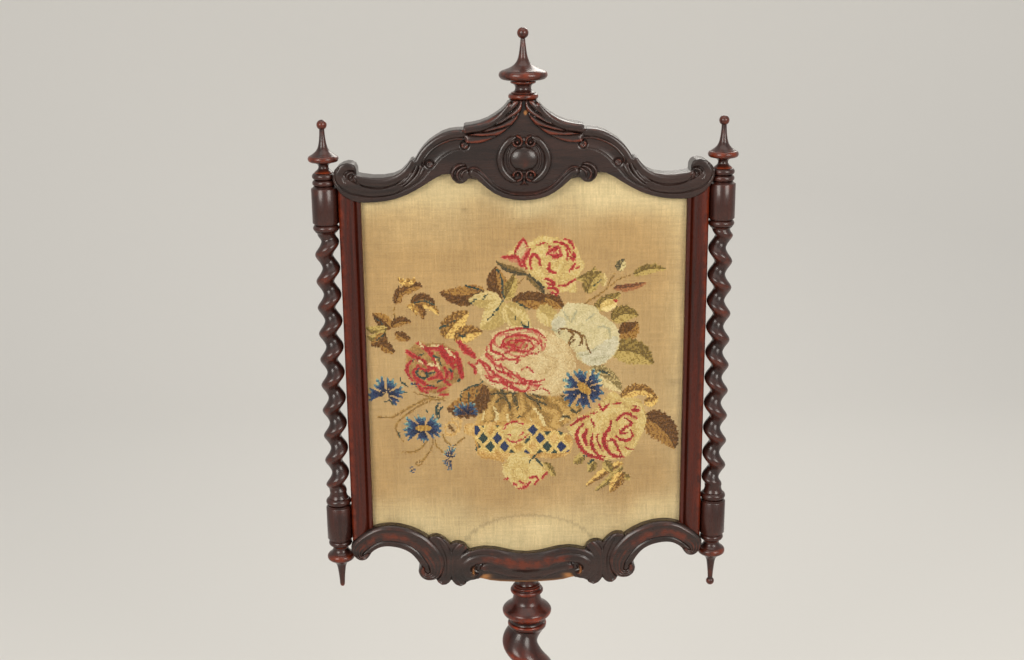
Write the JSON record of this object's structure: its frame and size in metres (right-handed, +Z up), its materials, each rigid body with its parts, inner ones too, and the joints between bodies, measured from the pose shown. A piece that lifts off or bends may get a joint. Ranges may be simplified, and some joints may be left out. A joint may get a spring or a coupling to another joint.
{
  "type": "pole screen",
  "caption": "Carved and turned mahogany fire screen: a glazed needlework panel between barley-twist columns, turning on a twisted stem with scrolled tripod legs.",
  "frame": {"origin": "middle of the bounding box on the floor", "axes": "+Z up, the panel's front faces -Y, +X to the right as seen from the front"},
  "size_m": [0.592, 0.3914, 1.4],
  "materials": {
    "carved_mahogany": "carved, dark French polish",
    "stile_mahogany": "planed half round, French polish",
    "turned_mahogany": "turned, French polish, rubbed on the high parts",
    "stem_mahogany": "turned, French polish",
    "leg_mahogany": "sawn and carved, French polish",
    "beech": "turned dowel, unpolished",
    "glass": "thin drawn sheet glass",
    "needlework": "wool cross stitch on linen canvas",
    "pine": "planed, unpolished",
    "back_board": "thin planed board, stained",
    "bead_mahogany": "planed bead, thin polish",
    "steel_pins": "drawn wire, tarnished"
  },
  "bodies": {
    "stand": {"pole": "stem_mahogany", "base_hub": "stem_mahogany", "leg_front": "leg_mahogany", "leg_left": "leg_mahogany", "leg_right": "leg_mahogany", "base_drop": "stem_mahogany"},
    "screen": {"bottom_rail": "carved_mahogany", "left_stile": "stile_mahogany", "right_stile": "stile_mahogany", "crest_rail": "carved_mahogany", "crest_cartouche": "carved_mahogany", "crest_finial": "turned_mahogany", "left_column": "turned_mahogany", "right_column": "turned_mahogany", "left_top_finial": "turned_mahogany", "right_top_finial": "turned_mahogany", "left_drop_finial": "turned_mahogany", "right_drop_finial": "turned_mahogany", "column_dowels": "beech", "glass_pane": "glass", "needlework_canvas": "needlework", "stretcher_sides": "pine", "stretcher_top": "pine", "stretcher_bottom": "pine", "back_board": "back_board", "back_bead_left": "bead_mahogany", "back_bead_right": "bead_mahogany", "back_bead_top": "bead_mahogany", "back_bead_bottom": "bead_mahogany", "bead_pins": "steel_pins"}
  },
  "joints": [
    {"name": "screen_swivel", "type": "hinge", "parent": "stand", "child": "screen", "pos_m": [0, 0.05427, 0.594], "axis": [0, 0, 1], "continuous": true}
  ]
}
